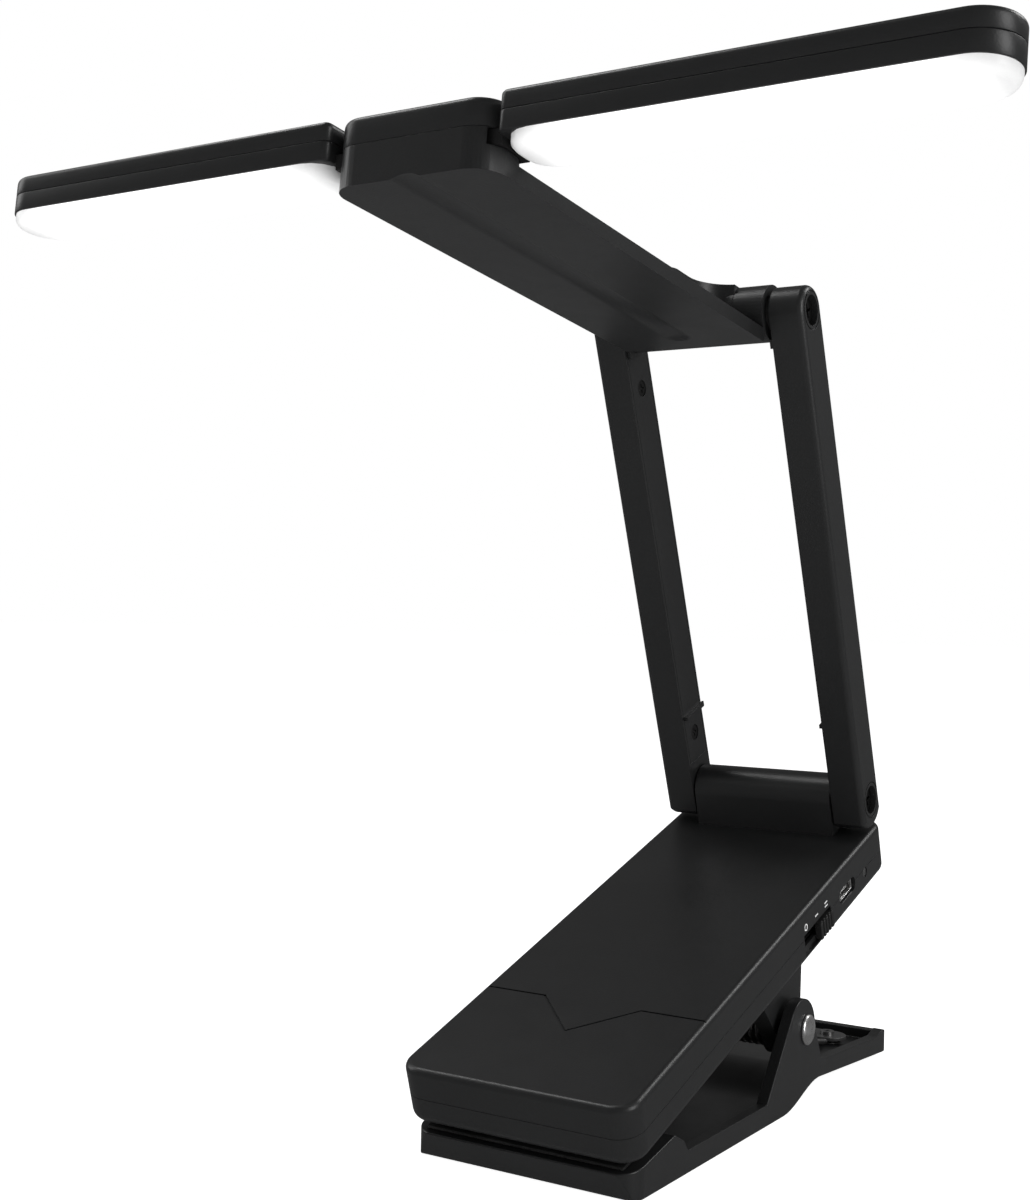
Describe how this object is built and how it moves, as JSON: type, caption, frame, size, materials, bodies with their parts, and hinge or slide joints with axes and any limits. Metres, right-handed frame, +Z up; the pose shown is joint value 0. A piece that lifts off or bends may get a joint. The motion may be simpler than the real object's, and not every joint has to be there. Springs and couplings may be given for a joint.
{
  "type": "clip-on reading lamp",
  "caption": "Folding rechargeable reading lamp: flat battery base on a sprung clip, two-armed frame, folding neck and light bars that swing out of its head.",
  "frame": {"origin": "middle of the flat underside of the clip's jaw, on which the lamp stands", "axes": "+X to the right along the light bars, +Y from the jaw's nose back to its handle, +Z up"},
  "size_m": [0.1984, 0.175, 0.1892],
  "materials": {
    "black_plastic": "satin moulded",
    "dark_plastic": "matte moulded",
    "pad_rubber": "soft, matte",
    "bright_steel": "nickel-plated, polished",
    "plain_steel": "plain",
    "black_screw": "blackened steel",
    "retainer_grey": "grey",
    "diffuser_white": "opal, translucent",
    "board_white": "white solder mask",
    "board_green": "green solder mask",
    "led_yellow": "phosphor",
    "battery_foil": "foil pouch",
    "lens_smoke": "smoked clear"
  },
  "bodies": {
    "base": {"clip_pin": "bright_steel", "base_top_shell": "black_plastic", "base_bottom_shell": "black_plastic", "base_pad": "pad_rubber", "base_screws": "black_screw", "battery": "battery_foil", "circuit_board": "board_green", "usb_socket": "bright_steel", "switch_body": "dark_plastic", "charge_light": "lens_smoke"},
    "jaw": {"clip_jaw": "black_plastic", "jaw_pad": "pad_rubber", "clip_spring": "plain_steel", "spring_retainer": "retainer_grey", "retainer_screws": "plain_steel"},
    "switch": {"switch_knob": "dark_plastic"},
    "frame": {"left_arm": "black_plastic", "right_arm": "black_plastic", "left_arm_cover": "black_plastic", "right_arm_cover": "black_plastic", "arm_cover_screws": "black_screw", "lower_axle": "plain_steel", "upper_axle": "plain_steel", "axle_screws": "black_screw", "hinge_washers": "dark_plastic"},
    "neck": {"neck_shell": "black_plastic", "hinge_cover": "black_plastic", "hinge_cover_screws": "black_screw", "head_cover": "black_plastic", "head_screws": "black_screw", "bar_pivots": "plain_steel"},
    "left_bar": {"left_bar_top": "black_plastic", "left_bar_frame": "black_plastic", "left_led_board": "board_white", "left_leds": "led_yellow", "left_diffuser": "diffuser_white", "left_swing_tongue": "dark_plastic", "left_tongue_screw": "plain_steel"},
    "right_bar": {"right_bar_top": "black_plastic", "right_bar_frame": "black_plastic", "right_led_board": "board_white", "right_leds": "led_yellow", "right_diffuser": "diffuser_white", "right_swing_tongue": "dark_plastic", "right_tongue_screw": "plain_steel"}
  },
  "joints": [
    {"name": "clip_jaw_squeeze", "type": "hinge", "parent": "base", "child": "jaw", "pos_m": [0, 0.0448, 0.0162], "axis": [1, 0, 0], "range_deg": [0, 25], "stiffness_Nm_per_rad": 0.3, "springref_deg": -28.65, "deforming": ["clip_spring"]},
    {"name": "switch_slide", "type": "slide", "parent": "base", "child": "switch", "axis": [0, 0.9516, 0.3074], "range_m": [-0.0074, 0]},
    {"name": "frame_tilt", "type": "hinge", "parent": "base", "child": "frame", "pos_m": [0, 0.07815, 0.06374], "axis": [-1, 0, 0], "range_deg": [-75, 20]},
    {"name": "neck_tilt", "type": "hinge", "parent": "frame", "child": "neck", "pos_m": [0, 0.0363, 0.17139], "axis": [1, 0, 0], "range_deg": [-60, 108]},
    {"name": "left_bar_swing", "type": "hinge", "parent": "neck", "child": "left_bar", "pos_m": [-0.0096, -0.0694, 0.18172], "axis": [0, -0.1115, -0.9938], "range_deg": [0, 90]},
    {"name": "right_bar_swing", "type": "hinge", "parent": "neck", "child": "right_bar", "pos_m": [0.0096, -0.0694, 0.18172], "axis": [0, 0.1115, 0.9938], "range_deg": [0, 90]}
  ]
}
